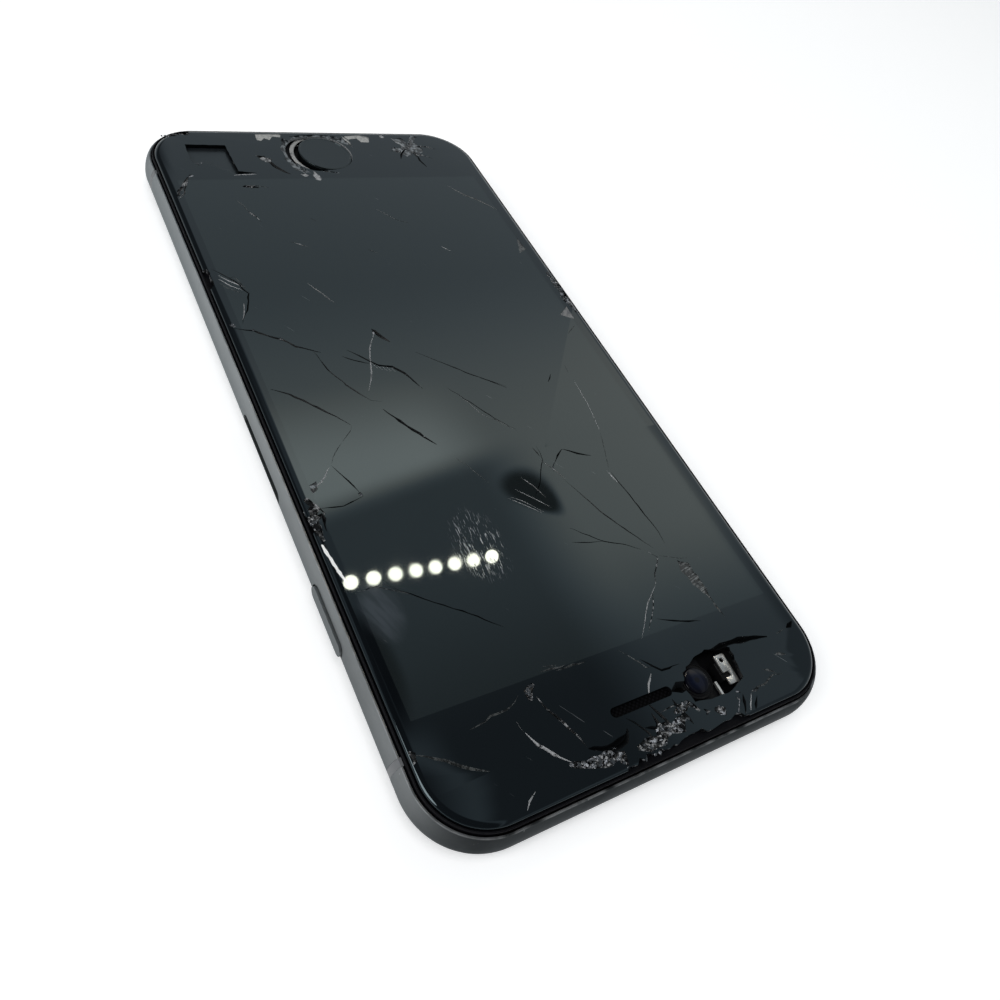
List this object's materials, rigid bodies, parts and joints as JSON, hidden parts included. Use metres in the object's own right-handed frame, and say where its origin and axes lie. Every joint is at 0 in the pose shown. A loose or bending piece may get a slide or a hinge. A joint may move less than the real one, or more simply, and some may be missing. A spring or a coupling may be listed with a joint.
{
  "type": "shattered screen phone",
  "caption": "Flat handset with a grey metal shell, a home button and a cracked, chipped glass front; its flank keys press in and its card tray is missing.",
  "frame": {"origin": "on the resting plane below the middle of the body", "axes": "+Z out of the screen; +Y towards the end with the earpiece; +X towards the flank with the side button and the card slot"},
  "size_m": [0.0676, 0.1384, 0.0071],
  "materials": {
    "housing_metal": "fine blasted and anodised, satin, scuffed at the rim",
    "band_plastic": "satin moulded plastic",
    "black_plastic": "satin moulded plastic",
    "screen_panel": "dark switched-off display",
    "white_sheet": "matt reflector sheet",
    "steel": "stamped steel",
    "black_glass": "polished, printed black behind, cracked and chipped",
    "pale_rubber": "pale soft gasket",
    "module_black": "satin black",
    "lens_glass": "polished and coated lens",
    "board": "satin solder mask",
    "flex_film": "brown film",
    "flash_window": "clear over pale yellow"
  },
  "bodies": {
    "handset": {"rear_housing": "housing_metal", "antenna_band_top": "band_plastic", "antenna_band_bottom": "band_plastic", "display_frame": "black_plastic", "perimeter_seal": "black_plastic", "lcd_panel": "screen_panel", "backlight_unit": "white_sheet", "display_back_plate": "steel", "lower_light_seal": "black_plastic", "cover_glass": "black_glass", "home_button_gasket": "pale_rubber", "home_button_switch": "steel", "home_button_bracket": "steel", "earpiece_mesh": "module_black", "earpiece_speaker": "module_black", "front_camera": "black_plastic", "front_camera_lens": "lens_glass", "sensor_bracket": "steel", "light_sensor": "module_black", "earpiece_bracket": "steel", "side_button_switch": "steel", "volume_switches": "steel", "ring_switch_body": "module_black", "card_reader": "steel", "logic_board": "board", "board_screw_top": "steel", "board_screw_bottom": "steel", "processor_shield": "steel", "radio_shield": "steel", "connector_cover": "steel", "display_flex": "flex_film", "battery": "module_black", "rear_camera_trim": "housing_metal", "rear_camera_window": "lens_glass", "rear_camera_module": "module_black", "flash_lens": "flash_window", "charging_port": "steel", "charging_flex": "flex_film", "bottom_microphone": "steel", "vibration_motor": "steel", "loudspeaker": "module_black", "bottom_screw_left": "steel", "bottom_screw_right": "steel"},
    "home_button": {"home_button": "black_glass"},
    "side_button": {"side_button": "housing_metal"},
    "volume_up_button": {"volume_up_button": "housing_metal"},
    "volume_down_button": {"volume_down_button": "housing_metal"},
    "ring_switch": {"ring_switch": "housing_metal"}
  },
  "joints": [
    {"name": "home_button_press", "type": "slide", "parent": "handset", "child": "home_button", "axis": [0, 0, -1], "range_m": [0, 0.00025], "stiffness_N_per_m": 2000},
    {"name": "side_button_press", "type": "slide", "parent": "handset", "child": "side_button", "axis": [-1, 0, 0], "range_m": [0, 0.0003], "stiffness_N_per_m": 2000},
    {"name": "volume_up_press", "type": "slide", "parent": "handset", "child": "volume_up_button", "axis": [1, 0, 0], "range_m": [0, 0.0003], "stiffness_N_per_m": 2000},
    {"name": "volume_down_press", "type": "slide", "parent": "handset", "child": "volume_down_button", "axis": [1, 0, 0], "range_m": [0, 0.0003], "stiffness_N_per_m": 2000},
    {"name": "ring_switch_slide", "type": "slide", "parent": "handset", "child": "ring_switch", "axis": [0, 0, -1], "range_m": [0, 0.0009]}
  ]
}
